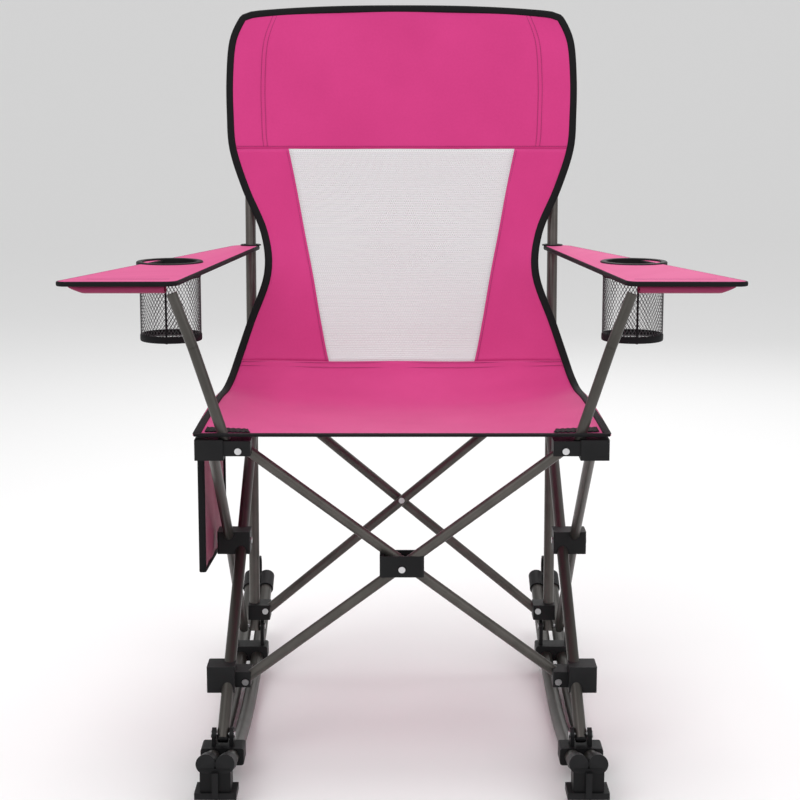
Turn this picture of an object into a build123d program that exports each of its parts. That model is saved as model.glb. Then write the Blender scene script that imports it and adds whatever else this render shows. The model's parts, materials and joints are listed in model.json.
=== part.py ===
from build123d import *
import math
import os

os.makedirs("parts", exist_ok=True)

# Camp rocking chair, millimetres. X runs to the sitter's left and right, -Y is the front, +Z is up.
# The layout starts from the lowest line of the rockers; ORIGIN_BACK then moves every piece so that
# the origin lies on the ground under the middle of the chair's box.

# ---- driving dimensions ----
ORIGIN_BACK = 93.5
SIDE_X = 266.0          # middle of each rocker
RAIL_SPACING = 28.0     # between the two rails of one rocker
RAIL_RADIUS = 11.0
RAIL_CURVE = 1300.0
RAIL_LOW_Y = 27.0       # where the rocker touches the ground
RAIL_FRONT_Y = -325.0
RAIL_REAR_Y = 508.0
LEG_RADIUS = 9.0
BRACE_RADIUS = 8.0
CROSS_RADIUS = 8.0
POST_RADIUS = 8.0
WALL = 1.2
GAP = 0.2               # assembly clearance round a tube
FABRIC = 4.0
BRACE_X = 276.0
CROSS_HALF = 237.0      # rivets of the crossed tubes, from the middle
CROSS_OFFSET = 8.6      # each crossed tube stands this far from their common plane
RIVET_RADIUS = 3.0

FRONT_SADDLE_Y = -216.0
FRONT_PIN_Z = 66.0
REAR_SADDLE_Y = 279.0
REAR_PIN_Z = 84.0
HUB_Y, HUB_Z = 45.0, 297.0
CORNER_Y, CORNER_Z = -203.0, 500.0
LOWER_Y, LOWER_Z = -135.0, 130.0
REAR_LOWER_Y, REAR_LOWER_Z = 287.0, 109.0
REAR_UPPER_Y, REAR_UPPER_Z = 369.0, 485.0
UPRIGHT_TOP_Z = 1125.0
UPRIGHT_LEAN = 0.2254   # backward travel per millimetre of height
UPRIGHT_SPLAY = 0.01535
ARM_Z = 732.0
ARM_THICK = 9.0
CUP_X, CUP_Y = 368.0, 87.0
CUP_RADIUS = 49.0
CUP_BOTTOM_Z = 615.0

SIDES = {"left": -1, "right": 1}


def rail_height(y):
    """Height of a rail's centre line at y."""
    return RAIL_RADIUS + RAIL_CURVE - math.sqrt(RAIL_CURVE**2 - (y - RAIL_LOW_Y) ** 2)


def rail_slope(y):
    """Slope of a rail at y, in degrees."""
    return math.degrees(math.asin((y - RAIL_LOW_Y) / RAIL_CURVE))


def upright_point(side, z):
    """A point on an upright's centre line."""
    return (side * (256 + UPRIGHT_SPLAY * (z - 76)), 277.2 + UPRIGHT_LEAN * (z - 76), z)


def save(piece, name):
    """Label a finished piece, move it to the chair's origin and write it."""
    placed = piece.part.moved(Location((0, -ORIGIN_BACK, 0)))
    placed.label = name
    export_step(placed, f"parts/{name}.step")


def tube(points, radius, wall=0.0, bend=120.0):
    """A round tube along points, solid when wall is zero."""
    with BuildPart() as made:
        with BuildLine() as route:
            if len(points) > 2:
                FilletPolyline(*points, radius=bend)
            else:
                Line(*points)
        with BuildSketch(Plane(origin=route.line @ 0, z_dir=route.line % 0)):
            Circle(radius)
            if wall > 0:
                Circle(radius - wall, mode=Mode.SUBTRACT)
        sweep(path=route.line)
    return made


def rail(side, row, radius, wall=0.0):
    """One curved rail; row is -1 for the inner rail and 1 for the outer one."""
    x = side * (SIDE_X + row * RAIL_SPACING / 2)
    ends = [(x, y, rail_height(y)) for y in (RAIL_FRONT_Y, RAIL_LOW_Y, RAIL_REAR_Y)]
    with BuildPart() as made:
        with BuildLine() as route:
            ThreePointArc(*ends)
        with BuildSketch(Plane(origin=route.line @ 0, z_dir=route.line % 0)):
            Circle(radius)
            if wall > 0:
                Circle(radius - wall, mode=Mode.SUBTRACT)
        sweep(path=route.line)
    return made


def block(name, boxes, passages, edge=2.5):
    """A moulded bracket: rounded boxes (centre, size) with clear ways for the tubes."""
    with BuildPart() as body:
        for (x, y, z), (width, depth, height) in boxes:
            with BuildSketch(Plane.XY.offset(z - height / 2)):
                with Locations((x, y)):
                    RectangleRounded(width, depth, edge)
            extrude(amount=height)
        for way in passages:
            add(way.part, mode=Mode.SUBTRACT)
    save(body, name)


# ---- centre lines of the bent tubes ----
def leg_points(side):
    """Front leg: front saddle, lower bracket, side hub, rear upper bracket."""
    return [
        (side * 266, FRONT_SADDLE_Y - 4, 60),
        (side * 262, -151, 137),
        (side * 256, HUB_Y, HUB_Z),
        (side * 256, 350, 474),
    ]


def brace_points(side):
    """Brace: corner bracket, side hub, rear saddle."""
    return [(side * BRACE_X, -195, 489), (side * BRACE_X, HUB_Y, HUB_Z), (side * BRACE_X, 285, 78)]


def post_points(side):
    """Arm post: corner bracket, out and up to the front of the arm."""
    return [
        (side * 254, -205, 500),
        (side * 301, -205, 645),
        (side * 330, -205, ARM_Z - ARM_THICK / 2 - 4),
    ]


def cross_points(low, high, offset, lean):
    """A crossed tube between two brackets; low and high are its rivet points."""
    shift = Vector(0, math.cos(lean), math.sin(lean)) * offset
    return [Vector(*low) + shift, Vector(*high) + shift]


FRONT_LEAN = math.atan2(LOWER_Y - CORNER_Y, CORNER_Z - LOWER_Z)
REAR_LEAN = -math.atan2(REAR_UPPER_Y - REAR_LOWER_Y, REAR_UPPER_Z - REAR_LOWER_Z)

front_cross = {
    "a": cross_points(
        (-CROSS_HALF, LOWER_Y, LOWER_Z), (CROSS_HALF, CORNER_Y, CORNER_Z), -CROSS_OFFSET, FRONT_LEAN
    ),
    "b": cross_points(
        (CROSS_HALF, LOWER_Y, LOWER_Z), (-CROSS_HALF, CORNER_Y, CORNER_Z), CROSS_OFFSET, FRONT_LEAN
    ),
}
rear_cross = {
    "a": cross_points(
        (-CROSS_HALF, REAR_LOWER_Y, REAR_LOWER_Z),
        (CROSS_HALF, REAR_UPPER_Y, REAR_UPPER_Z),
        -CROSS_OFFSET,
        REAR_LEAN,
    ),
    "b": cross_points(
        (CROSS_HALF, REAR_LOWER_Y, REAR_LOWER_Z),
        (-CROSS_HALF, REAR_UPPER_Y, REAR_UPPER_Z),
        CROSS_OFFSET,
        REAR_LEAN,
    ),
}

# ---- crossed tubes and their clear ways ----
for key, points in front_cross.items():
    save(tube(points, CROSS_RADIUS, WALL), f"front_cross_tube_{key}")
for key, points in rear_cross.items():
    save(tube(points, CROSS_RADIUS, WALL), f"rear_cross_tube_{key}")
front_ways = [tube(points, CROSS_RADIUS + GAP) for points in front_cross.values()]
rear_ways = [tube(points, CROSS_RADIUS + GAP) for points in rear_cross.values()]

# ---- box hub on the front crossing, open above and below ----
front_middle_y = (LOWER_Y + CORNER_Y) / 2
front_middle_z = (LOWER_Z + CORNER_Z) / 2
with BuildPart() as front_hub:
    with Locations((0, front_middle_y, front_middle_z)):
        Box(66, 40, 32)
    fillet(front_hub.edges().filter_by(Axis.Z), radius=4)
    with Locations((0, front_middle_y, front_middle_z)):
        Box(52, 34, 40, mode=Mode.SUBTRACT)
    for way in front_ways:
        add(way.part, mode=Mode.SUBTRACT)
save(front_hub, "front_cross_hub")

# ---- side frames ----
for label, side in SIDES.items():
    leg = tube(leg_points(side), LEG_RADIUS, WALL)
    save(leg, f"front_leg_tube_{label}")
    leg_way = tube(leg_points(side), LEG_RADIUS + GAP)

    save(tube(brace_points(side), BRACE_RADIUS, WALL), f"brace_tube_{label}")
    brace_way = tube(brace_points(side), BRACE_RADIUS + GAP)

    save(tube(post_points(side), POST_RADIUS, WALL, bend=110), f"arm_post_{label}")
    post_way = tube(post_points(side), POST_RADIUS + GAP, bend=110)

    upright_line = [upright_point(side, 76), upright_point(side, UPRIGHT_TOP_Z)]
    save(tube(upright_line, LEG_RADIUS, WALL), f"back_upright_{label}")
    upright_way = tube(upright_line, LEG_RADIUS + GAP)

    rail_ways = []
    for row_name, row in {"inner": -1, "outer": 1}.items():
        save(rail(side, row, RAIL_RADIUS, WALL), f"rocker_rail_{row_name}_{label}")
        rail_ways.append(rail(side, row, RAIL_RADIUS + GAP))

    # double cap and bumper foot at the rocker's front end
    front_z = rail_height(RAIL_FRONT_Y)
    with BuildPart() as front_cap:
        for row in (-1, 1):
            lobe_x = side * SIDE_X + row * RAIL_SPACING / 2
            with Locations(Location((lobe_x, RAIL_FRONT_Y + 8, front_z), (90 + rail_slope(RAIL_FRONT_Y), 0, 0))):
                Cylinder(13.8, 44)
        with Locations((side * SIDE_X, RAIL_FRONT_Y + 2, front_z - 20)):
            Box(44, 36, 40)
        with Locations((side * SIDE_X, RAIL_FRONT_Y + 2, front_z - 40)):
            Box(60, 44, 10)
        with Locations((side * SIDE_X, RAIL_FRONT_Y - 18, front_z - 24)):
            Box(9, 8, 38)
        for way in rail_ways:
            add(way.part, mode=Mode.SUBTRACT)
    save(front_cap, f"rocker_front_cap_{label}")

    # double cap at the rear end, with a tail below and a curved catch above
    rear_z = rail_height(RAIL_REAR_Y)
    with BuildPart() as rear_cap:
        for row in (-1, 1):
            lobe_x = side * SIDE_X + row * RAIL_SPACING / 2
            with Locations(Location((lobe_x, RAIL_REAR_Y - 6, rear_z - 2), (90 + rail_slope(RAIL_REAR_Y), 0, 0))):
                Cylinder(13.8, 40)
        with Locations((side * SIDE_X, RAIL_REAR_Y + 2, rear_z - 12)):
            Box(22, 22, 30)
        with BuildSketch(Plane.YZ.offset(side * SIDE_X)):
            with Locations((RAIL_REAR_Y + 2, rear_z + 22)):
                Circle(24)
                Circle(20, mode=Mode.SUBTRACT)
            with Locations((RAIL_REAR_Y - 24, rear_z + 22)):
                Rectangle(44, 60, mode=Mode.SUBTRACT)
        extrude(amount=4, both=True)
        for way in rail_ways:
            add(way.part, mode=Mode.SUBTRACT)
    save(rear_cap, f"rocker_rear_cap_{label}")

    # saddles: a plate clipped over both rails, two ears and a cross pin
    for where, saddle_y, pin_z, ear_gap in (
        ("front", FRONT_SADDLE_Y, FRONT_PIN_Z, 20.0),
        ("rear", REAR_SADDLE_Y, REAR_PIN_Z, 39.6),
    ):
        base_z = rail_height(saddle_y)
        ear_x = ear_gap / 2 + 3
        with BuildPart() as saddle:
            with Locations((side * SIDE_X, saddle_y, base_z + 3.5)):
                Box(64, 38, 26)
            fillet(saddle.edges().filter_by(Axis.Y), radius=4)
            for ear in (-1, 1):
                ear_middle = side * SIDE_X + ear * ear_x
                with Locations((ear_middle, saddle_y, (base_z + 16 + pin_z) / 2)):
                    Box(6, 20, pin_z - base_z - 16)
                with Locations(Location((ear_middle, saddle_y, pin_z), (0, 90, 0))):
                    Cylinder(10, 6)
            for way in rail_ways:
                add(way.part, mode=Mode.SUBTRACT)
        save(saddle, f"{where}_saddle_{label}")

    # brackets
    block(
        f"side_hub_{label}",
        [((side * 268, HUB_Y, HUB_Z), (52, 40, 36))],
        [leg_way, brace_way],
    )
    block(
        f"corner_bracket_{label}",
        [
            ((side * 279, CORNER_Y, CORNER_Z - 2), (42, 46, 30)),
            ((side * 240, CORNER_Y, CORNER_Z), (42, 40, 22)),
        ],
        [brace_way, post_way] + front_ways,
    )
    block(
        f"front_lower_bracket_{label}",
        [
            ((side * 273, LOWER_Y - 12, LOWER_Z + 4), (42, 44, 40)),
            ((side * 242, LOWER_Y, LOWER_Z), (26, 40, 24)),
        ],
        [leg_way] + front_ways,
    )
    block(
        f"rear_lower_bracket_{label}",
        [((side * 248, REAR_LOWER_Y, REAR_LOWER_Z + 2), (38, 40, 26))],
        [upright_way, brace_way] + rear_ways,
    )
    block(
        f"rear_upper_bracket_{label}",
        [((side * 251, REAR_UPPER_Y - 4, REAR_UPPER_Z), (46, 50, 36))],
        [upright_way, leg_way] + rear_ways,
    )

    # arm: a fabric panel with a cup ring and a hanging mesh cup
    with BuildPart() as arm_panel:
        with BuildSketch(Plane.XY.offset(ARM_Z - ARM_THICK / 2)):
            with BuildLine():
                Polyline(
                    (side * 322, -222),
                    (side * 484, -226),
                    (side * 492, -218),
                    (side * 292, 438),
                    (side * 252, 438),
                    close=True,
                )
            make_face()
            with Locations((side * CUP_X, CUP_Y)):
                Circle(CUP_RADIUS - 2, mode=Mode.SUBTRACT)
        extrude(amount=ARM_THICK)
        fillet(arm_panel.edges().group_by(Axis.Z)[-1], radius=2)
        add(upright_way.part, mode=Mode.SUBTRACT)
    save(arm_panel, f"armrest_panel_{label}")

    with BuildPart() as cup_ring:
        with BuildSketch(Plane.XY.offset(ARM_Z + ARM_THICK / 2 + 0.3)):
            with Locations((side * CUP_X, CUP_Y)):
                Circle(CUP_RADIUS + 4)
                Circle(CUP_RADIUS - 6, mode=Mode.SUBTRACT)
        extrude(amount=5)
        fillet(cup_ring.edges().group_by(Axis.Z)[-1], radius=2)
        with BuildSketch(Plane.XY.offset(ARM_Z - ARM_THICK / 2)):
            with Locations((side * CUP_X, CUP_Y)):
                Circle(CUP_RADIUS - 2.4)
                Circle(CUP_RADIUS - 6, mode=Mode.SUBTRACT)
        extrude(amount=ARM_THICK + 1)
    save(cup_ring, f"cup_ring_{label}")

    with BuildPart() as cup_mesh:
        with BuildSketch(Plane.XY.offset(CUP_BOTTOM_Z)):
            with Locations((side * CUP_X, CUP_Y)):
                Circle(CUP_RADIUS)
        extrude(amount=ARM_Z - ARM_THICK / 2 - 0.3 - CUP_BOTTOM_Z)
        with BuildSketch(Plane.XY.offset(CUP_BOTTOM_Z + 2)):
            with Locations((side * CUP_X, CUP_Y)):
                Circle(CUP_RADIUS - 2)
        extrude(amount=200, mode=Mode.SUBTRACT)
    save(cup_mesh, f"cup_mesh_{label}")

    # pole pocket at the back of the headrest
    with BuildPart() as pole_pocket:
        pocket = [upright_point(side, 930), upright_point(side, UPRIGHT_TOP_Z + 6)]
        with BuildLine() as pocket_line:
            Line(*pocket)
        with BuildSketch(Plane(origin=pocket_line.line @ 0, z_dir=pocket_line.line % 0)):
            Circle(LEG_RADIUS + 2.4)
        sweep(path=pocket_line.line)
        add(tube(upright_line, LEG_RADIUS + 0.5).part, mode=Mode.SUBTRACT)
    save(pole_pocket, f"pole_pocket_{label}")

# ---- sling: seat, back and headrest share one side profile ----
SEAT_FRONT = (-222.0, 520.0)
SEAM = (330.0, 542.0)


def sling_profile(points):
    """A thin closed band along a smooth side-view line."""
    with BuildSketch(Plane.YZ) as band:
        with BuildLine():
            if len(points) > 2:
                Spline(*points)
            else:
                Line(*points)
        trace(line_width=FABRIC)
    return band


def back_y(z):
    """Front face line of the back, just ahead of the uprights above the arms."""
    lift = max(0.0, (850.0 - z) / 300.0)
    return upright_point(1, z)[1] - 14.2 - 28.0 * lift**1.5


def front_outline(points):
    """A closed front-view outline, which trims a band to its width."""
    with BuildSketch(Plane.XZ) as outline:
        with BuildLine():
            Polyline(*points, close=True)
        make_face()
    return outline


with BuildPart() as seat_panel:
    seat_line = [SEAT_FRONT, (-60, 505), (120, 491), (255, 492), (306, 512), SEAM]
    extrude(sling_profile(seat_line).sketch, amount=320, both=True, dir=(1, 0, 0))
    with BuildSketch(Plane.XY.offset(300)):
        with BuildLine():
            Polyline(
                (-301, -230), (301, -230), (301, 150), (298, 230), (286, 350),
                (-286, 350), (-298, 230), (-301, 150), close=True,
            )
        make_face()
    extrude(amount=400, mode=Mode.INTERSECT)
    for side in SIDES.values():
        add(tube(post_points(side), POST_RADIUS + 0.6, bend=110).part, mode=Mode.SUBTRACT)
save(seat_panel, "seat_panel")

# half width of the back's outer edge at each height
BACK_EDGE = [
    (544, 287), (611, 266), (661, 246), (701, 238), (733, 237),
    (760, 247), (781, 257), (833, 279), (885, 297), (903, 301),
]
WINDOW_LOW, WINDOW_HIGH = 126.0, 199.0
back_line = [(back_y(z), z) for z in (544, 600, 680, 760, 840, 903.5)]

for label, side in SIDES.items():
    with BuildPart() as back_strip:
        extrude(sling_profile(back_line).sketch, amount=320, both=True, dir=(1, 0, 0))
        inner = [(side * (WINDOW_HIGH + 0.3), 903), (side * (WINDOW_LOW + 0.3), 545)]
        outer = [(side * half, z) for z, half in BACK_EDGE]
        trim = front_outline(inner + outer).sketch
        extrude(trim, amount=1200, both=True, dir=(0, 1, 0), mode=Mode.INTERSECT)
    save(back_strip, f"back_side_{label}")

with BuildPart() as mesh_window:
    extrude(sling_profile(back_line).sketch, amount=320, both=True, dir=(1, 0, 0))
    window = [(-WINDOW_HIGH, 903), (-WINDOW_LOW, 545), (WINDOW_LOW, 545), (WINDOW_HIGH, 903)]
    extrude(front_outline(window).sketch, amount=1200, both=True, dir=(0, 1, 0), mode=Mode.INTERSECT)
save(mesh_window, "mesh_window")

HEAD_EDGE = [
    (904, 301), (960, 306), (1040, 306), (1090, 302), (1118, 296),
    (1134, 285), (1141, 262), (1146, 190), (1149.5, 100), (1151, 0),
]
with BuildPart() as headrest_panel:
    head_line = [(back_y(z), z) for z in (904, 1153)]
    extrude(sling_profile(head_line).sketch, amount=320, both=True, dir=(1, 0, 0))
    right_edge = [(half, z) for z, half in HEAD_EDGE]
    left_edge = [(-half, z) for z, half in reversed(HEAD_EDGE[:-1])]
    trim = front_outline(right_edge + left_edge).sketch
    extrude(trim, amount=1200, both=True, dir=(0, 1, 0), mode=Mode.INTERSECT)
save(headrest_panel, "headrest_panel")

# ---- pouch on one side: a thin open pocket hung from the seat's edge ----
POUCH_X = -304.0
POUCH_THICK = 12.0
with BuildPart() as side_pouch:
    with BuildSketch(Plane.YZ.offset(POUCH_X - POUCH_THICK / 2)):
        with BuildLine():
            Polyline((-100, 466), (235, 460), (235, 256), (-100, 285), close=True)
        make_face()
    extrude(amount=POUCH_THICK)
    with BuildSketch(Plane.YZ.offset(POUCH_X - POUCH_THICK / 2 + 1.5)):
        with BuildLine():
            Polyline((-97, 480), (232, 480), (232, 260), (-97, 289), close=True)
        make_face()
    extrude(amount=POUCH_THICK - 3, mode=Mode.SUBTRACT)
save(side_pouch, "side_pouch")


# ---- fasteners ----
def pins(name, places, radius):
    """A group of pins; each place is its middle, its length and its rotation."""
    with BuildPart() as group:
        for centre, length, turn in places:
            with Locations(Location(centre, turn)):
                Cylinder(radius, length)
                for end in (-1, 1):
                    with Locations((0, 0, end * length / 2)):
                        Cylinder(radius * 1.7, 1.6)
    save(group, name)


ALONG_X = (0, 90, 0)
front_turn = (90 + math.degrees(FRONT_LEAN), 0, 0)
rear_turn = (90 + math.degrees(REAR_LEAN), 0, 0)
pins("front_cross_rivets", [
    ((side * CROSS_HALF, y, z), 42, front_turn)
    for side in SIDES.values()
    for y, z in ((CORNER_Y, CORNER_Z), (LOWER_Y, LOWER_Z))
] + [((0, front_middle_y, front_middle_z), 44, front_turn)], RIVET_RADIUS)
rear_middle_y = (REAR_LOWER_Y + REAR_UPPER_Y) / 2
rear_middle_z = (REAR_LOWER_Z + REAR_UPPER_Z) / 2
pins("rear_cross_rivets", [
    ((side * CROSS_HALF, y, z), 44, rear_turn)
    for side in SIDES.values()
    for y, z in ((REAR_UPPER_Y, REAR_UPPER_Z), (REAR_LOWER_Y, REAR_LOWER_Z))
] + [((0, rear_middle_y, rear_middle_z), 36, rear_turn)], RIVET_RADIUS)
pins("side_hub_rivets", [
    ((side * 268, HUB_Y, HUB_Z), 54, ALONG_X) for side in SIDES.values()
], RIVET_RADIUS)
pins("saddle_pins", [
    ((side * SIDE_X, y, z), length, ALONG_X)
    for side in SIDES.values()
    for y, z, length in (
        (FRONT_SADDLE_Y, FRONT_PIN_Z, 34), (REAR_SADDLE_Y, REAR_PIN_Z, 54),
    )
], RIVET_RADIUS)
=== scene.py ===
import bmesh
import json
import logging
import math
from dataclasses import dataclass
from enum import Enum
from typing import Callable, Sequence

import bpy
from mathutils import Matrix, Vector


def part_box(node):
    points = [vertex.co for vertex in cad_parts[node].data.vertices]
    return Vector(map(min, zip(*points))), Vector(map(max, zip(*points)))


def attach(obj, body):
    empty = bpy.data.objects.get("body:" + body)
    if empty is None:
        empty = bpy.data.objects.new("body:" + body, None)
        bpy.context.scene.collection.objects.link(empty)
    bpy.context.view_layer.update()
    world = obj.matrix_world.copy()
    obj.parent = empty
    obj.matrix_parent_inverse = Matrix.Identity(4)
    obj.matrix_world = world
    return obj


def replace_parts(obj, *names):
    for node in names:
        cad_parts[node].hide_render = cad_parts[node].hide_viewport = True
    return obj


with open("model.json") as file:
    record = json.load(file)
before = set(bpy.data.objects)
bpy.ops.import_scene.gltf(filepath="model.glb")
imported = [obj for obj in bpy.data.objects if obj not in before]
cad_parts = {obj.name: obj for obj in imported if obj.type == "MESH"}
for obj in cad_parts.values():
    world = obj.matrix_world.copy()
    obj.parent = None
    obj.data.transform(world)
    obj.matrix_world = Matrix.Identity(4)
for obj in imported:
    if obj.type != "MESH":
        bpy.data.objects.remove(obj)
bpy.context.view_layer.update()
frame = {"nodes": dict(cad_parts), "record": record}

logging.basicConfig(level=logging.INFO, format="%(message)s")
log = logging.getLogger("rocker")

BODY = "root"
Point = tuple[float, float, float]


class Side(Enum):
    """Which side of the chair a paired piece stands on."""

    LEFT = -1
    RIGHT = 1

    @property
    def label(self) -> str:
        """Name used in piece and node names."""
        return self.name.lower()


class Slot(Enum):
    """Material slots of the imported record."""

    STEEL = "frame_steel"
    RIVET = "rivet_steel"
    PLASTIC = "black_plastic"
    FABRIC = "sling_fabric"
    MESH = "white_mesh"
    NET = "cup_net"


# ---- shader groups ----


def new_group(name: str, inputs: dict[str, float], outputs: Sequence[str]):
    """Start a shader node group with named sockets.

    Args:
        name: Name of the group.
        inputs: Name and default of each number taken in, after the coordinates.
        outputs: Names of the numbers given out.

    Returns:
        The node tree with its input and output nodes.
    """
    tree = bpy.data.node_groups.new(name, "ShaderNodeTree")
    tree.interface.new_socket(name="Vector", in_out="INPUT", socket_type="NodeSocketVector")
    for label, default in inputs.items():
        socket = tree.interface.new_socket(name=label, in_out="INPUT", socket_type="NodeSocketFloat")
        socket.default_value = default
    for label in outputs:
        tree.interface.new_socket(name=label, in_out="OUTPUT", socket_type="NodeSocketFloat")
    return tree, tree.nodes.new("NodeGroupInput"), tree.nodes.new("NodeGroupOutput")


def maths(tree: bpy.types.NodeTree, operation: str, *operands) -> bpy.types.NodeSocket:
    """Add a Math node; numbers and sockets are both accepted.

    Args:
        tree: Tree to add the node to.
        operation: Blender's name of the operation.
        operands: One to three numbers or sockets.

    Returns:
        The node's result socket.
    """
    node = tree.nodes.new("ShaderNodeMath")
    node.operation = operation
    for socket, value in zip(node.inputs, operands):
        if isinstance(value, bpy.types.NodeSocket):
            tree.links.new(value, socket)
        else:
            socket.default_value = value
    return node.outputs[0]


def noise(tree: bpy.types.NodeTree, vector, scale: float, detail: float = 4.0) -> bpy.types.NodeSocket:
    """Add a noise texture and return its value socket."""
    node = tree.nodes.new("ShaderNodeTexNoise")
    node.inputs["Scale"].default_value = scale
    node.inputs["Detail"].default_value = detail
    tree.links.new(vector, node.inputs["Vector"])
    return node.outputs["Fac"]


def mixed(tree: bpy.types.NodeTree, factor, first, second) -> bpy.types.NodeSocket:
    """Mix two colours by a factor socket."""
    node = tree.nodes.new("ShaderNodeMix")
    node.data_type = "RGBA"
    tree.links.new(factor, node.inputs["Factor"])
    for socket, value in ((node.inputs["A"], first), (node.inputs["B"], second)):
        if isinstance(value, bpy.types.NodeSocket):
            tree.links.new(value, socket)
        else:
            socket.default_value = (*value, 1.0)
    return node.outputs["Result"]


def weave_group() -> bpy.types.NodeTree:
    """Plain weave with slubs: gives thread height, shade and roughness."""
    cloud_scale, slub_scale = 7.0, 260.0
    cloud_share, slub_share = 0.7, 0.3
    smoothest, rougher = 0.52, 0.25
    tree, inputs, outputs = new_group(
        "ThreadWeave", {"Threads": 900.0, "Shade": 0.1}, ("Height", "Shade", "Roughness")
    )
    vector = inputs.outputs["Vector"]
    split = tree.nodes.new("ShaderNodeSeparateXYZ")
    tree.links.new(vector, split.inputs[0])
    turns = maths(tree, "MULTIPLY", inputs.outputs["Threads"], math.pi)
    across = maths(tree, "SINE", maths(tree, "MULTIPLY", split.outputs["X"], turns))
    along = maths(tree, "SINE", maths(tree, "MULTIPLY", split.outputs["Y"], turns))
    height = maths(tree, "MULTIPLY_ADD", maths(tree, "MULTIPLY", across, along), 0.5, 0.5)
    cloudy = maths(tree, "MULTIPLY", noise(tree, vector, cloud_scale), cloud_share)
    slubs = maths(tree, "MULTIPLY", noise(tree, vector, slub_scale, 2.0), slub_share)
    shade = maths(tree, "ADD", cloudy, slubs)
    rough = maths(tree, "ADD", smoothest, maths(tree, "MULTIPLY", shade, rougher))
    tree.links.new(height, outputs.inputs["Height"])
    tree.links.new(maths(tree, "MULTIPLY", shade, inputs.outputs["Shade"]), outputs.inputs["Shade"])
    tree.links.new(rough, outputs.inputs["Roughness"])
    return tree


def grain_group() -> bpy.types.NodeTree:
    """Fine surface grain and rubbed patches for plastic and coated metal."""
    grain_scale, patch_scale = 900.0, 28.0
    edge_from, edge_to = 0.52, 0.62
    tree, inputs, outputs = new_group(
        "SurfaceGrain", {"Base": 0.45, "Spread": 0.2, "Edge": 1.0}, ("Height", "Wear", "Roughness")
    )
    vector = inputs.outputs["Vector"]
    grain = noise(tree, vector, grain_scale, 2.0)
    patch = noise(tree, vector, patch_scale, 5.0)
    geometry = tree.nodes.new("ShaderNodeNewGeometry")
    ramp = tree.nodes.new("ShaderNodeMapRange")
    ramp.inputs["From Min"].default_value = edge_from
    ramp.inputs["From Max"].default_value = edge_to
    tree.links.new(geometry.outputs["Pointiness"], ramp.inputs["Value"])
    rubbed = maths(tree, "MULTIPLY", ramp.outputs["Result"], patch)
    wear = maths(tree, "MULTIPLY", rubbed, inputs.outputs["Edge"])
    spread = maths(tree, "MULTIPLY", patch, inputs.outputs["Spread"])
    tree.links.new(grain, outputs.inputs["Height"])
    tree.links.new(wear, outputs.inputs["Wear"])
    tree.links.new(maths(tree, "ADD", inputs.outputs["Base"], spread), outputs.inputs["Roughness"])
    return tree


def net_group() -> bpy.types.NodeTree:
    """Open knitted mesh: gives a cover mask with offset round holes and a yarn height."""
    tree, inputs, outputs = new_group("OpenKnit", {"Cells": 300.0, "Hole": 0.3}, ("Cover", "Height"))
    cells = inputs.outputs["Cells"]
    split = tree.nodes.new("ShaderNodeSeparateXYZ")
    tree.links.new(inputs.outputs["Vector"], split.inputs[0])
    row = maths(tree, "MULTIPLY", split.outputs["Y"], cells)
    shift = maths(tree, "MULTIPLY", maths(tree, "MODULO", maths(tree, "FLOOR", row), 2.0), 0.5)
    column = maths(tree, "ADD", maths(tree, "MULTIPLY", split.outputs["X"], cells), shift)
    dx = maths(tree, "SUBTRACT", maths(tree, "FRACT", column), 0.5)
    dy = maths(tree, "SUBTRACT", maths(tree, "FRACT", row), 0.5)
    square = maths(tree, "ADD", maths(tree, "MULTIPLY", dx, dx), maths(tree, "MULTIPLY", dy, dy))
    distance = maths(tree, "SQRT", square)
    cover = maths(tree, "GREATER_THAN", distance, inputs.outputs["Hole"])
    tree.links.new(cover, outputs.inputs["Cover"])
    tree.links.new(maths(tree, "MINIMUM", distance, 0.5), outputs.inputs["Height"])
    return tree


WEAVE = weave_group()
GRAIN = grain_group()
KNIT = net_group()


def place_group(tree: bpy.types.NodeTree, group: bpy.types.NodeTree, vector, **values: float):
    """Place a shared group in a material and set its numbers."""
    node = tree.nodes.new("ShaderNodeGroup")
    node.node_tree = group
    tree.links.new(vector, node.inputs["Vector"])
    for label, value in values.items():
        node.inputs[label].default_value = value
    return node


def add_bump(tree: bpy.types.NodeTree, shader, height, strength: float, distance: float) -> None:
    """Feed a height through a Bump node into the shader's normal."""
    bump = tree.nodes.new("ShaderNodeBump")
    bump.inputs["Strength"].default_value = strength
    bump.inputs["Distance"].default_value = distance
    tree.links.new(height, bump.inputs["Height"])
    tree.links.new(bump.outputs["Normal"], shader.inputs["Normal"])


def blank_material(name: str):
    """A material with its Principled shader and a texture coordinate node."""
    material = bpy.data.materials.new(name)
    material.use_nodes = True
    tree = material.node_tree
    shader = tree.nodes["Principled BSDF"]
    return material, tree, shader, tree.nodes.new("ShaderNodeTexCoord")


# ---- finishes ----


@dataclass(frozen=True)
class WovenFinish:
    """Coated woven polyester, or narrow woven tape."""

    name: str
    colour: Point
    dark: Point
    threads: float = 900.0
    bump: float = 0.35
    sheen: float = 0.10
    specular: float = 0.4
    shading: float = 0.75
    thread_height: float = 0.0004

    def build(self) -> bpy.types.Material:
        """Make the material."""
        material, tree, shader, place = blank_material(self.name)
        weave = place_group(tree, WEAVE, place.outputs["UV"], Threads=self.threads, Shade=self.shading)
        colour = mixed(tree, weave.outputs["Shade"], self.colour, self.dark)
        tree.links.new(colour, shader.inputs["Base Color"])
        tree.links.new(weave.outputs["Roughness"], shader.inputs["Roughness"])
        shader.inputs["Sheen Weight"].default_value = self.sheen
        shader.inputs["Sheen Roughness"].default_value = 0.5
        shader.inputs["Specular IOR Level"].default_value = self.specular
        add_bump(tree, shader, weave.outputs["Height"], self.bump, self.thread_height)
        return material


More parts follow.
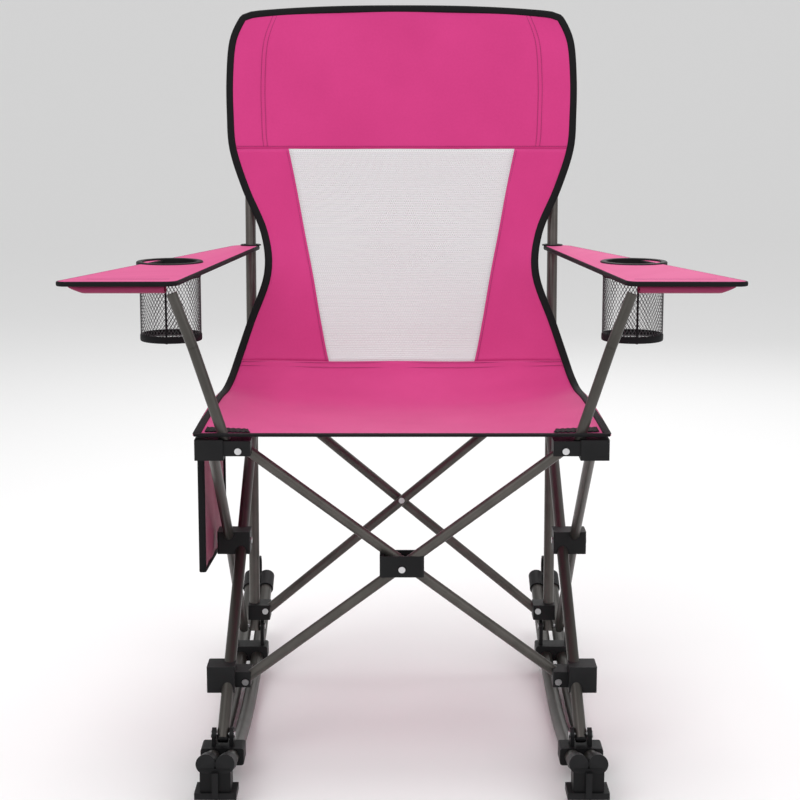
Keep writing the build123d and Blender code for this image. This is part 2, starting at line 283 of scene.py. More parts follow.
@dataclass(frozen=True)
class KnitFinish:
    """Open mesh fabric whose holes show what is behind."""

    name: str
    colour: Point
    # Darker yarn colour, blended in towards each hole's edge: painted shade.
    shade: Point
    cells: float = 240.0
    hole: float = 0.30
    rough: float = 0.7
    bump: float = 0.5
    yarn_height: float = 0.0006

    def build(self) -> bpy.types.Material:
        """Make the material."""
        material, tree, shader, place = blank_material(self.name)
        knit = place_group(tree, KNIT, place.outputs["UV"], Cells=self.cells, Hole=self.hole)
        tree.links.new(knit.outputs["Cover"], shader.inputs["Alpha"])
        # The yarn darkens where it dips towards the holes: painted shade.
        colour = mixed(tree, knit.outputs["Height"], self.shade, self.colour)
        tree.links.new(colour, shader.inputs["Base Color"])
        shader.inputs["Roughness"].default_value = self.rough
        add_bump(tree, shader, knit.outputs["Height"], self.bump, self.yarn_height)
        return material


@dataclass(frozen=True)
class GrainFinish:
    """Moulded plastic, powder coat or plated metal, with rubbed edges."""

    name: str
    colour: Point
    worn: Point
    metallic: float = 0.0
    rough: float = 0.4
    coat: float = 0.0
    bump: float = 0.1
    specular: float = 0.5
    spread: float = 0.18
    edge: float = 0.9
    grain_height: float = 0.0003

    def build(self) -> bpy.types.Material:
        """Make the material."""
        material, tree, shader, place = blank_material(self.name)
        coordinates = place.outputs["Object"]
        grain = place_group(tree, GRAIN, coordinates, Base=self.rough, Spread=self.spread, Edge=self.edge)
        colour = mixed(tree, grain.outputs["Wear"], self.colour, self.worn)
        tree.links.new(colour, shader.inputs["Base Color"])
        tree.links.new(grain.outputs["Roughness"], shader.inputs["Roughness"])
        shader.inputs["Metallic"].default_value = self.metallic
        shader.inputs["Coat Weight"].default_value = self.coat
        shader.inputs["Coat Roughness"].default_value = 0.25
        shader.inputs["Specular IOR Level"].default_value = self.specular
        add_bump(tree, shader, grain.outputs["Height"], self.bump, self.grain_height)
        return material


PINK = WovenFinish("PinkPolyester", (0.68, 0.030, 0.235), (0.46, 0.016, 0.145)).build()
# Darker copy of the pink cloth, for the lip under the arm and the pouch's inner wall: painted shade.
PINK_PAINTED_SHADE = WovenFinish("PinkPaintedShade", (0.27, 0.010, 0.075), (0.18, 0.006, 0.045)).build()
TAPE = WovenFinish(
    "BlackTape", (0.005, 0.005, 0.006), (0.010, 0.010, 0.011),
    threads=1400.0, bump=0.5, sheen=0.01, specular=0.12,
).build()
THREAD = WovenFinish(
    "PlumThread", (0.30, 0.02, 0.14), (0.18, 0.01, 0.08), threads=1800.0, bump=0.4, sheen=0.1
).build()
WINDOW = KnitFinish("WhiteKnit", (0.86, 0.86, 0.87), (0.60, 0.60, 0.62)).build()
NET = WovenFinish(
    "BlackNetYarn", (0.02, 0.02, 0.022), (0.06, 0.06, 0.062), threads=2200.0, bump=0.4, sheen=0.15
).build()
STEEL = GrainFinish(
    "BronzeGreyCoat", (0.042, 0.039, 0.034), (0.13, 0.12, 0.11),
    metallic=0.5, rough=0.32, coat=0.1, bump=0.05, specular=0.35,
).build()
PLASTIC = GrainFinish(
    "BlackNylon", (0.006, 0.006, 0.0065), (0.02, 0.02, 0.021), rough=0.42, bump=0.22, specular=0.15
).build()
ZINC = GrainFinish(
    "ZincRivet", (0.42, 0.42, 0.43), (0.85, 0.85, 0.86), metallic=1.0, rough=0.25, bump=0.08
).build()
PAPER = GrainFinish("PaleFloor", (0.94, 0.94, 0.94), (0.92, 0.92, 0.92), rough=0.7, bump=0.0).build()


# ---- mesh helpers ----


def spaced(start: float, end: float, steps: int) -> list[float]:
    """Evenly spaced values from start to end, both included."""
    return [start + (end - start) * k / steps for k in range(steps + 1)]


def ring_directions(count: int) -> list[Vector]:
    """Unit directions round an upright axis, evenly turned."""
    angles = [2 * math.pi * k / count for k in range(count)]
    return [Vector((math.cos(angle), math.sin(angle), 0)) for angle in angles]


def linked(name: str, data: bpy.types.ID) -> bpy.types.Object:
    """A new object with its data, linked to the scene."""
    holder = bpy.data.objects.new(name, data)
    bpy.context.scene.collection.objects.link(holder)
    return holder


def finish_piece(mesh: bpy.types.Mesh, name: str, material: bpy.types.Material) -> bpy.types.Object:
    """Link a mesh as a piece on the chair's body, smooth it and give it its finish.

    Args:
        mesh: The finished mesh, in the row frame.
        name: Name of the piece.
        material: Its finish.

    Returns:
        The new piece.
    """
    piece = linked(name, mesh)
    mesh.materials.append(material)
    mesh.shade_smooth()
    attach(piece, BODY)
    log.info("made %s", name)
    return piece


def grid_mesh(
    name: str,
    columns: int,
    rows: int,
    place: Callable[[float, float], Point],
    closed: bool = False,
) -> bpy.types.Mesh:
    """A quad grid from a surface function, with UVs in metres along the middle lines.

    Args:
        name: Name of the mesh.
        columns: Number of cells across.
        rows: Number of cells along.
        place: Gives a point in metres for u and v from 0 to 1.
        closed: Joins the last column to the first.

    Returns:
        The new mesh.
    """
    mesh = bpy.data.meshes.new(name)
    build = bmesh.new()
    wide = columns if closed else columns + 1
    points = [[Vector(place(i / columns, j / rows)) for i in range(wide)] for j in range(rows + 1)]
    verts = [[build.verts.new(point) for point in line] for line in points]
    width = max(sum((line[i + 1] - line[i]).length for i in range(wide - 1)) for line in points)
    middle = wide // 2
    length = sum((points[j + 1][middle] - points[j][middle]).length for j in range(rows))
    layer = build.loops.layers.uv.new("metres")
    for j in range(rows):
        for i in range(columns):
            after = (i + 1) % wide
            face = build.faces.new((verts[j][i], verts[j][after], verts[j + 1][after], verts[j + 1][i]))
            corners = ((i, j), (i + 1, j), (i + 1, j + 1), (i, j + 1))
            for loop, (a, b) in zip(face.loops, corners):
                loop[layer].uv = (a / columns * width, b / rows * length)
    build.to_mesh(mesh)
    build.free()
    return mesh


def grid_piece(
    name: str,
    columns: int,
    rows: int,
    place: Callable[[float, float], Point],
    material: bpy.types.Material,
    closed: bool = False,
) -> bpy.types.Object:
    """A finished piece from grid_mesh."""
    return finish_piece(grid_mesh(name, columns, rows, place, closed), name, material)


def declare_sheet(
    piece: bpy.types.Object, width: float, length: float
) -> None:
    """Log the flat cut and area of a cloth piece whose mesh is still one layer.

    Args:
        piece: The cloth, before its thickness is added.
        width: Flat width of the cut, in metres.
        length: Flat length of the cut.
    """
    area = min(sum(polygon.area for polygon in piece.data.polygons), width * length)
    log.info("sheet %s: flat %.3f x %.3f m, area %.4f m2", piece.name, width, length, area)


def thicken(piece: bpy.types.Object, thickness: float, offset: float = 0.0) -> None:
    """Give a sheet its thickness, in metres, on both sides or, with an offset of -1, inwards."""
    solid = piece.modifiers.new("thickness", "SOLIDIFY")
    solid.thickness = thickness
    solid.offset = offset


def sweep_mesh(
    name: str,
    path: Sequence[Vector],
    inward: Sequence[Vector],
    width: float,
    depth: float,
    closed: bool = False,
) -> bpy.types.Mesh:
    """Sweep a flattened round section along a path.

    Args:
        name: Name of the mesh.
        path: Middle line, in metres.
        inward: Direction of the section's wide axis at each point.
        width: Full width of the section.
        depth: Full thickness of the section.
        closed: Joins the end of the path to its start.

    Returns:
        The new mesh, capped at its ends when open.
    """
    around, squareness = 10, 0.6
    count = len(path)
    mesh = bpy.data.meshes.new(name)
    build = bmesh.new()
    layer = build.loops.layers.uv.new("metres")
    rings = []
    travel = [0.0]
    for k in range(count):
        before = path[(k - 1) % count] if closed or k > 0 else path[k]
        after = path[(k + 1) % count] if closed or k < count - 1 else path[k]
        tangent = (after - before).normalized()
        wide = (inward[k] - tangent * inward[k].dot(tangent)).normalized()
        thin = tangent.cross(wide)
        ring = []
        for n in range(around):
            angle = 2 * math.pi * n / around
            across = math.copysign(abs(math.cos(angle)) ** squareness, math.cos(angle)) * width / 2
            out = math.copysign(abs(math.sin(angle)) ** squareness, math.sin(angle)) * depth / 2
            ring.append(build.verts.new(path[k] + wide * across + thin * out))
        rings.append(ring)
        travel.append(travel[-1] + (after - path[k]).length)
    for k in range(count if closed else count - 1):
        following = rings[(k + 1) % count]
        for n in range(around):
            m = (n + 1) % around
            face = build.faces.new((rings[k][n], rings[k][m], following[m], following[n]))
            spots = ((n, k), (n + 1, k), (n + 1, k + 1), (n, k + 1))
            for loop, (a, b) in zip(face.loops, spots):
                loop[layer].uv = (a / around * 2 * (width + depth), travel[b])
    if not closed:
        build.faces.new(rings[0])
        build.faces.new(list(reversed(rings[-1])))
    bmesh.ops.recalc_face_normals(build, faces=build.faces[:])
    build.to_mesh(mesh)
    build.free()
    return mesh


def swept_piece(
    name: str,
    path: Sequence[Vector],
    inward: Sequence[Vector] | Vector,
    width: float,
    depth: float,
    material: bpy.types.Material,
    closed: bool = False,
) -> bpy.types.Object:
    """A finished piece from sweep_mesh; one inward direction serves the whole path."""
    directions = [inward] * len(path) if isinstance(inward, Vector) else inward
    return finish_piece(sweep_mesh(name, path, directions, width, depth, closed), name, material)


def plate_piece(
    name: str,
    outline: Sequence[tuple[float, float]],
    hole: Sequence[tuple[float, float]],
    height: Callable[[float], float],
    thickness: float,
    material: bpy.types.Material,
) -> bpy.types.Object:
    """A flat panel with softened edges.

    Args:
        name: Name of the piece.
        outline: Outer corners in metres.
        hole: Points of an inner hole, which may be empty.
        height: Gives the height of the middle of the panel at a y.
        thickness: Full thickness.
        material: Its finish.

    Returns:
        The new piece.
    """
    curve = bpy.data.curves.new(name, "CURVE")
    curve.dimensions = "2D"
    curve.fill_mode = "BOTH"
    soft = min(0.0016, thickness * 0.4)
    curve.bevel_depth = soft
    curve.bevel_resolution = 2
    curve.extrude = thickness / 2 - soft
    for loop in (outline, hole):
        if loop:
            spline = curve.splines.new("POLY")
            spline.points.add(len(loop) - 1)
            for point, (x, y) in zip(spline.points, loop):
                point.co = (x, y, 0.0, 1.0)
            spline.use_cyclic_u = True
    holder = linked(name + "_outline", curve)
    mesh = bpy.data.meshes.new_from_object(holder)
    bpy.data.objects.remove(holder)
    mesh.materials.clear()
    layer = mesh.uv_layers.new(name="metres")
    for loop in mesh.loops:
        place = mesh.vertices[loop.vertex_index].co
        layer.data[loop.index].uv = (place.x, place.y)
    for vertex in mesh.vertices:
        vertex.co.z += height(vertex.co.y)
    return finish_piece(mesh, name, material)


def smooth_value(values: Sequence[float], t: float) -> float:
    """Catmull-Rom value through evenly spaced stations.

    Args:
        values: The value at each station.
        t: Where to read it, counted in stations.

    Returns:
        The smoothed value.
    """
    last = len(values) - 1
    k = min(max(int(t), 0), last - 1)
    f = t - k
    a = values[max(k - 1, 0)]
    b, c = values[k], values[k + 1]
    d = values[min(k + 2, last)]
    return 0.5 * (2 * b + (c - a) * f + (2 * a - 5 * b + 4 * c - d) * f**2 + (3 * b - a - 3 * c + d) * f**3)


# ---- sling ----


@dataclass(frozen=True)
class Station:
    """One cross line of the sling: half its width, then its edge's and its middle's place.

    Heights are above the ground and y is measured back from the front of the arms.
    """

    half: float
    edge_y: float
    edge_z: float
    middle_y: float
    middle_z: float


STATIONS = tuple(Station(*row) for row in (
    (0.302, 0.0045, 0.520, 0.0045, 0.520),
    (0.302, 0.114, 0.521, 0.114, 0.506),
    (0.302, 0.234, 0.5205, 0.234, 0.493),
    (0.302, 0.355, 0.517, 0.355, 0.484),
    (0.300, 0.452, 0.513, 0.454, 0.484),
    (0.293, 0.494, 0.528, 0.514, 0.508),
    (0.286, 0.526, 0.550, 0.559, 0.543),
    (0.266, 0.566, 0.611, 0.588, 0.611),
    (0.239, 0.606, 0.690, 0.617, 0.690),
    (0.246, 0.638, 0.760, 0.6385, 0.760),
    (0.279, 0.659, 0.835, 0.660, 0.835),
    (0.302, 0.675, 0.904, 0.6755, 0.904),
    (0.307, 0.689, 0.965, 0.6895, 0.965),
    (0.308, 0.704, 1.030, 0.704, 1.030),
    (0.303, 0.718, 1.092, 0.7185, 1.095),
    (0.284, 0.728, 1.138, 0.7305, 1.1505),
))


@dataclass
class Sling:
    """Seat, back, mesh window and headrest: one taut sheet sewn from panels.

    Each station across the sling has its middle point and its edge point. The middle sags between
    the edges, which run straight from the front corners to the uprights.
    """

    seam_station: float = 6.0
    head_station: float = 11.0
    top_station: float = 15.0
    window_low: float = 0.126
    window_high: float = 0.199
    cloth: float = 0.0016
    sag_power: float = 2.4
    ripple: float = 0.0007
    proud: float = 0.0013
    corner_fall: float = 0.008

    def __post_init__(self) -> None:
        """Read the stations, placed behind the front edge of the arms."""
        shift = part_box("armrest_panel_left")[0].y
        self.half = [station.half for station in STATIONS]
        self.edge_y = [station.edge_y + shift for station in STATIONS]
        self.edge_z = [station.edge_z for station in STATIONS]
        self.middle_y = [station.middle_y + shift for station in STATIONS]
        self.middle_z = [station.middle_z for station in STATIONS]

    def point(self, x: float, station: float, lift: float = 0.0) -> Vector:
        """A point of the sheet.

        Args:
            x: Distance from the middle, in metres.
            station: Position along the sling, in stations.
            lift: How far above the sheet, along its outward side.

        Returns:
            The point in the row frame.
        """
        half = smooth_value(self.half, station)
        share = min(1.0, abs(x) / half) ** self.sag_power
        y = smooth_value(self.middle_y, station) * (1 - share) + smooth_value(self.edge_y, station) * share
        z = smooth_value(self.middle_z, station) * (1 - share) + smooth_value(self.edge_z, station) * share
        z -= self.top_drop(x / half, station)
        if lift:
            ahead = 0.05 if station < self.top_station - 0.1 else -0.05
            slope = Vector((
                0,
                smooth_value(self.middle_y, station + ahead) - smooth_value(self.middle_y, station),
                smooth_value(self.middle_z, station + ahead) - smooth_value(self.middle_z, station),
            )) * math.copysign(1, ahead)
            out = Vector((1, 0, 0)).cross(slope).normalized()
            y += out.y * lift
            z += out.z * lift
        return Vector((x, y, z))

    def top_drop(self, share: float, station: float) -> float:
        """How much more the top edge falls at its rounded corners."""
        part = max(0.0, station - self.top_station + 1)
        corner = max(0.0, (abs(share) - 0.9) / 0.1)
        return part**2 * self.corner_fall * min(1.0, corner) ** 2

    def half_at(self, station: float) -> float:
        """Half the width at a station."""
        return smooth_value(self.half, station)

    def window_half(self, station: float) -> float:
        """Half the width of the mesh window at a station."""
        part = (station - self.seam_station) / (self.head_station - self.seam_station)
        return self.window_low + (self.window_high - self.window_low) * min(1.0, max(0.0, part))

    def panel(
        self,
        name: str,
        node: str,
        start: float,
        end: float,
        left: Callable[[float], float],
        right: Callable[[float], float],
        material: bpy.types.Material,
        columns: int,
        rows: int,
    ) -> None:
        """One sewn panel of the sling.

        Args:
            name: Piece name.
            node: CAD node that it stands for.
            start: First station.
            end: Last station.
            left: Left edge at a station.
            right: Right edge at a station.
            material: Finish of the panel.
            columns: Cells across.
            rows: Cells along.
        """

        def place(u: float, v: float) -> Point:
            station = start + (end - start) * v
            low, high = left(station), right(station)
            point = self.point(low + (high - low) * u, station)
            ripple = self.ripple * math.sin(31 * point.x + 5) * math.sin(17 * point.z + 9 * point.y)
            return (point.x, point.y - ripple, point.z + ripple)

        piece = grid_piece(name, columns, rows, place, material)
        thicken(piece, self.cloth)
        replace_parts(piece, node)
        steps = spaced(start, end, rows)
        middle = [self.point(0, step) for step in steps]
        length = sum((after - before).length for before, after in zip(middle, middle[1:]))
        width = max(right(step) - left(step) for step in steps)
        area = sum(polygon.area for polygon in piece.data.polygons)
        hem_wide, hem_long = 1.04, 1.02
        declare_sheet(piece, width * hem_wide, max(length, area / width) * hem_long)

    def build(self) -> None:
        """Make every panel, then the tape, seams and patches."""
        seam, head, top = self.seam_station, self.head_station, self.top_station - 0.001
        right, pane_right = self.half_at, self.window_half

        def left(station: float) -> float:
            return -self.half_at(station)

        def pane_left(station: float) -> float:
            return -self.window_half(station)

        self.panel("seat_cover", "seat_panel", 0, seam, left, right, PINK, 56, 60)
        self.panel("back_cover_left", "back_side_left", seam, head, left, pane_left, PINK, 16, 50)
        self.panel("back_cover_right", "back_side_right", seam, head, pane_right, right, PINK, 16, 50)
        self.panel("back_mesh", "mesh_window", seam, head, pane_left, pane_right, WINDOW, 36, 50)
        self.panel("headrest_cover", "headrest_panel", head, top, left, right, PINK, 60, 40)
        self.tape()
        self.seams()
        for side in Side:
            self.sleeve(side)
            self.corner_patch(side)

    def tape(self) -> None:
        """Black tape folded over the whole outline."""
        front, top = 0.03, self.top_station - 0.001
        inset, top_inset = 0.005, 0.08
        path, inward = [], []

        def mark(x: float, station: float, direction: Point) -> None:
            path.append(self.point(x, station))
            inward.append(Vector(direction))

        climb = spaced(0, top, 90)[1:-1]
        for share in spaced(-1, 1, 40):
            mark(share * (self.half_at(0) - inset), front, (0, 1, 0))
        for station in climb:
            mark(self.half_at(station) - inset, max(station, front), (-1, 0, 0))
        for share in spaced(1, -1, 40):
            mark(share * (self.half_at(top) - inset), top - top_inset, (0, -0.2, -1))
        for station in reversed(climb):
            mark(inset - self.half_at(station), max(station, front), (1, 0, 0))
        swept_piece("sling_binding", path, inward, 0.013, 0.0046, TAPE, closed=True)

    def stitch_line(self, name: str, points: Sequence[Vector]) -> None:
        """A row of separate thread stitches along points."""
        spacing, share, thread = 0.004, 0.36, 0.00045
        section = ((1, 0), (0, 1), (-1, 0), (0, -1))
        mesh = bpy.data.meshes.new(name)
        build = bmesh.new()
        carry = 0.0
        for first, second in zip(points, points[1:]):
            run = second - first
            length = run.length
            while carry < length:
                middle = first + run * (carry / length)
                half = run.normalized() * spacing * share
                rise = run.normalized().orthogonal().normalized() * thread
                side = run.normalized().cross(rise).normalized() * thread
                ends = [
                    [build.verts.new(middle + half * sign + rise * c + side * s) for c, s in section]
                    for sign in (-1, 1)
                ]
                for n in range(4):
                    m = (n + 1) % 4
                    build.faces.new((ends[0][n], ends[0][m], ends[1][m], ends[1][n]))
                build.faces.new(list(reversed(ends[0])))
                build.faces.new(ends[1])
                carry += spacing
            carry -= length
        bmesh.ops.recalc_face_normals(build, faces=build.faces[:])
        build.to_mesh(mesh)
        build.free()
        mesh.uv_layers.new(name="metres")
        finish_piece(mesh, name, THREAD)

    def across(self, station: float) -> list[Vector]:
        """Points across the sling, just proud of the cloth."""
        half = self.half_at(station) - 0.012
        return [self.point(x, station, self.proud) for x in spaced(-half, half, 48)]

    def seams(self) -> None:
        """Twin rows of stitching where the panels join, and the headrest's side channels."""
        for number, before in enumerate((0.05, 0.22)):
            self.stitch_line(f"seat_seam_{number}", self.across(self.seam_station - before))
        self.stitch_line("head_seam", self.across(self.head_station + 0.07))
        for side in Side:
            for number, inset in enumerate((0.060, 0.067)):
                line = [
                    self.point(side.value * (self.half_at(station) - inset), station, self.proud)
                    for station in spaced(self.head_station + 0.1, self.top_station - 0.2, 30)
                ]
                self.stitch_line(f"head_channel_{number}_{side.label}", line)
            low = self.seam_station + 0.04
            edge = [
                self.point(side.value * (self.window_half(station) + 0.004), station, self.proud)
                for station in spaced(low, self.head_station - 0.04, 40)
            ]
            self.stitch_line(f"window_seam_{side.label}", edge)

    def sleeve(self, side: Side) -> None:
        """Cloth sleeve at the back of the headrest, round the top of an upright."""
        columns, rows = 28, 40
        low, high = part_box(f"pole_pocket_{side.label}")
        slack, edge, foot_edge = 0.94, 0.0115, 0.0125
        radius = (high.x - low.x) / 2 * slack
        near, far = (low.x, high.x) if side is Side.RIGHT else (high.x, low.x)
        lower = Vector((near + side.value * edge, low.y + foot_edge, low.z))
        upper = Vector((far - side.value * edge, high.y - edge, high.z))

        def place(u: float, v: float) -> Point:
            middle = lower.lerp(upper, v)
            angle = 2 * math.pi * u
            pucker = 1 + 0.025 * math.sin(5 * angle + 9 * v) + 0.03 * math.cos(40 * v)
            close = 1.0 if v < 0.97 else 0.75
            return (
                middle.x + math.cos(angle) * radius * pucker * close,
                middle.y + math.sin(angle) * radius * pucker * close,
                middle.z,
            )

        name = f"pole_sleeve_{side.label}"
        piece = grid_piece(name, columns, rows, place, PINK, closed=True)
        around = 2 * math.pi * radius
        declare_sheet(piece, around * 1.06, (upper - lower).length * 1.03)
        thicken(piece, 0.0012, -1.0)
        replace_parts(piece, f"pole_pocket_{side.label}")
        mouth = [Vector(place(k / columns, 0.0)) for k in range(columns)]
        hem = f"sleeve_hem_{side.label}"
        swept_piece(hem, mouth, ring_directions(columns), 0.003, 0.006, TAPE, closed=True)

    def corner_patch(self, side: Side) -> None:
        """Ribbed black patch that the arm post passes through."""
        post_low, post_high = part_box(f"arm_post_{side.label}")
        inner = post_low.x if side is Side.RIGHT else post_high.x
        middle = inner + side.value * 0.012
        start, end = 0.22, 0.54
        wide, ribs, rib_height, lift = 0.070, 9, 0.0004, 0.0022

        def place(u: float, v: float) -> Point:
            station = start + (end - start) * v
            x = middle + (u - 0.5) * wide + side.value * 0.006 * (v - 0.5)
            rib = rib_height * math.sin(2 * math.pi * ribs * u)
            limit = self.half_at(station) - 0.016
            return tuple(self.point(max(-limit, min(limit, x)), station, lift + rib))

        piece = grid_piece(f"corner_patch_{side.label}", 54, 12, place, TAPE)
        declare_sheet(piece, 0.080, 0.050)
        thicken(piece, 0.0012)


# ---- arms ----


@dataclass
class Armrest:
    """Fabric arm with its edge tape, front lip, rear grommet and net cup."""

    side: Side
    lip_drop: float = 0.012
    lip_depth: float = 0.030
    front_rise: float = 0.007
    corner_reach: float = 0.018
    net_columns: int = 54
    net_rows: int = 22
    floor_columns: int = 27
    yarn: float = 0.0008

    def __post_init__(self) -> None:
        """Read the arm's and cup's boxes from the frame."""
        label = self.side.label
        self.low, self.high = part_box(f"armrest_panel_{label}")
        ring_low, ring_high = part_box(f"cup_ring_{label}")
        self.cup = Vector(((ring_low.x + ring_high.x) / 2, (ring_low.y + ring_high.y) / 2, 0))
        self.cup_low, self.cup_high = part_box(f"cup_mesh_{label}")
        self.cup_radius = (self.cup_high.x - self.cup_low.x) / 2
        self.sign = self.side.value
        outer = max(abs(self.low.x), abs(self.high.x))
        inner = min(abs(self.low.x), abs(self.high.x))
        front, rear = self.low.y, self.high.y
        self.corners = [
            (inner + 0.071, front + 0.002), (outer - 0.008, front), (outer, front + 0.008),
            (inner + 0.040, rear), (inner, rear),
        ]

    def outline(self, inset: float = 0.0) -> list[tuple[float, float]]:
        """The arm's outline with its corners rounded, drawn in by an inset."""
        centre_x = sum(x for x, _ in self.corners) / len(self.corners)
        centre_y = sum(y for _, y in self.corners) / len(self.corners)
        result = []
        count = len(self.corners)
        for k, corner in enumerate(self.corners):
            here = Vector(corner)
            before = Vector(self.corners[k - 1])
            after = Vector(self.corners[(k + 1) % count])
            reach = min(self.corner_reach, (before - here).length * 0.4, (after - here).length * 0.4)
            start = here + (before - here).normalized() * reach
            end = here + (after - here).normalized() * reach
            for t in spaced(0, 1, 5):
                spot = start * (1 - t) ** 2 + here * 2 * t * (1 - t) + end * t * t
                away = Vector((centre_x, centre_y)) - spot
                spot += away.normalized() * inset
                result.append((spot.x * self.sign, spot.y))
        return result

    def rise(self, y: float) -> float:
        """How far the arm stands above its level at a y: it climbs evenly to its front edge."""
        return self.front_rise * (self.high.y - y) / (self.high.y - self.low.y)

    def circle(self, radius: float, z: float = 0.0, count: int = 48, turn: float = 0.0) -> list[Vector]:
        """Points round the cup's middle, at a height.

        Args:
            radius: Radius of the ring.
            z: Height of the ring.
            count: Number of points.
            turn: How far the ring is turned, as a share of one step.

        Returns:
            The ring's points in the row frame.
        """
        angles = [2 * math.pi * (k + turn) / count for k in range(count)]
        return [
            Vector((self.cup.x + radius * math.cos(angle), self.cup.y + radius * math.sin(angle), z))
            for angle in angles
        ]

    def build(self) -> None:
        """Make every piece of the arm."""
        label = self.side.label
        middle = (self.low.z + self.high.z) / 2
        thickness = self.high.z - self.low.z
        opening = [(point.x, point.y) for point in self.circle(self.cup_radius - 0.003)]

        def height(y: float) -> float:
            return middle + 0.001 + self.rise(y)

        name = f"arm_cover_{label}"
        cover = plate_piece(name, self.outline(0.001), opening, height, thickness * 0.6, PINK)
        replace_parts(cover, f"armrest_panel_{label}")
        path = [Vector((x, y, middle + self.rise(y))) for x, y in self.outline(0.0015)]
        inward = [Vector((self.cup.x, self.cup.y, middle)) - point for point in path]
        swept_piece(f"arm_binding_{label}", path, inward, 0.007, thickness * 0.82, TAPE, closed=True)
        self.lip(label, self.low.z + 0.008)
        self.seam(label, self.high.z)
        self.grommet(label)
        self.net_cup(label)
        self.cup_tapes(label)

    def lip(self, label: str, top: float) -> None:
        """Pocket under the arm's front edge that holds the end of the post, in the darker pink of painted
        shade.
        """
        inner = abs(self.corners[0][0]) + 0.016
        outer = abs(self.corners[1][0]) - 0.006
        front, taper = self.low.y + 0.006, 0.022

        def place(u: float, v: float) -> Point:
            x = inner + (outer - inner) * u
            droop = self.lip_drop * min(1.0, max(0.0, outer - x) / taper) ** 0.6
            angle = math.pi * v
            y = front + self.lip_depth * (1 - math.cos(angle)) / 2
            return (x * self.sign, y, top + 0.001 - droop * math.sin(angle) ** 0.35)

        piece = grid_piece(f"arm_lip_{label}", 40, 16, place, PINK_PAINTED_SHADE)
        declare_sheet(piece, (outer - inner) * 1.05, 0.056)
        thicken(piece, 0.0012)

    def seam(self, label: str, top: float) -> None:
        """A sewn channel across the arm, just behind its front edge."""
        y = self.low.y + self.lip_depth + 0.008
        z = top - 0.0009 + self.rise(y)
        places = spaced(self.corners[0][0] + 0.012, self.corners[1][0] - 0.030, 40)
        path = [Vector((x * self.sign, y + 0.0006 * math.sin(k), z)) for k, x in enumerate(places)]
        swept_piece(f"arm_seam_{label}", path, Vector((0, 1, 0)), 0.0012, 0.0008, THREAD)

    def grommet(self, label: str) -> None:
        """Black oval ring where the upright passes through the arm."""
        half_wide, half_long, pole_radius = 0.0155, 0.0125, 0.009
        pole_low, pole_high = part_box(f"back_upright_{label}")
        share = (self.high.z - pole_low.z) / (pole_high.z - pole_low.z)
        inner_x = min(abs(pole_low.x), abs(pole_high.x)) + pole_radius
        outer_x = max(abs(pole_low.x), abs(pole_high.x)) - pole_radius
        x = (inner_x + (outer_x - inner_x) * share) * self.sign
        y = pole_low.y + pole_radius + (pole_high.y - pole_low.y - 2 * pole_radius) * share
        z = self.high.z + 0.0006
        around = ring_directions(36)
        path = [Vector((x + half_wide * out.x, y + half_long * out.y, z)) for out in around]
        swept_piece(f"arm_grommet_{label}", path, around, 0.0055, 0.0026, PLASTIC, closed=True)

    def net_cup(self, label: str) -> None:
        """Open net cup of crossing yarns, with a netted floor."""
        radius = self.cup_radius - 0.001
        low, high = self.cup_low.z, self.cup_high.z
        columns = self.net_columns
        step = (high - low - 0.004) / self.net_rows
        build = bmesh.new()

        def knots(points: Sequence[Vector]) -> list[bmesh.types.BMVert]:
            return [build.verts.new(point) for point in points]

        wall = [
            knots(self.circle(radius, low + 0.002 + step * j, columns, 0.5 * (j % 2)))
            for j in range(self.net_rows + 1)
        ]
        for j in range(self.net_rows - 1):
            shift = j % 2
            for i in range(columns):
                left, right = wall[j + 1][i - 1 + shift], wall[j + 1][(i + shift) % columns]
                build.faces.new((wall[j][i], right, wall[j + 2][i], left))
        count = self.floor_columns
        rings = [
            knots(self.circle(radius * share, low + 0.003, count)) for share in (0.98, 0.76, 0.54, 0.32, 0.12)
        ]
        for outer, inner in zip(rings, rings[1:]):
            for i in range(count):
                after = (i + 1) % count
                build.faces.new((outer[i], outer[after], inner[after], inner[i]))
        mesh = bpy.data.meshes.new(f"cup_net_{label}")
        build.to_mesh(mesh)
        build.free()
        mesh.uv_layers.new(name="metres")
        net = finish_piece(mesh, f"cup_net_{label}", NET)
        wire = net.modifiers.new("yarn", "WIREFRAME")
        wire.thickness = self.yarn
        wire.use_boundary = True
        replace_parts(net, f"cup_mesh_{label}")

    def cup_tapes(self, label: str) -> None:
        """Base band, rim band and one upright tape on the net cup."""
        radius = self.cup_radius - 0.001
        low, high = self.cup_low.z, self.cup_high.z
        for name, z, width in (("base", low + 0.006, 0.011), ("rim", high - 0.006, 0.010)):
            band = f"cup_{name}_{label}"
            swept_piece(band, self.circle(radius, z), Vector((0, 0, 1)), width, 0.0026, TAPE, closed=True)
        front, outward = -90, 22
        angle = math.radians(front + self.sign * outward) - self.sign * 0.35
        x, y = self.cup.x + radius * math.cos(angle), self.cup.y + radius * math.sin(angle)
        path = [Vector((x, y, z)) for z in spaced(low, high, 12)]
        along = Vector((-math.sin(angle), math.cos(angle), 0))
        swept_piece(f"cup_tape_{label}", path, along, 0.0035, 0.0016, TAPE)


# ---- pouch ----


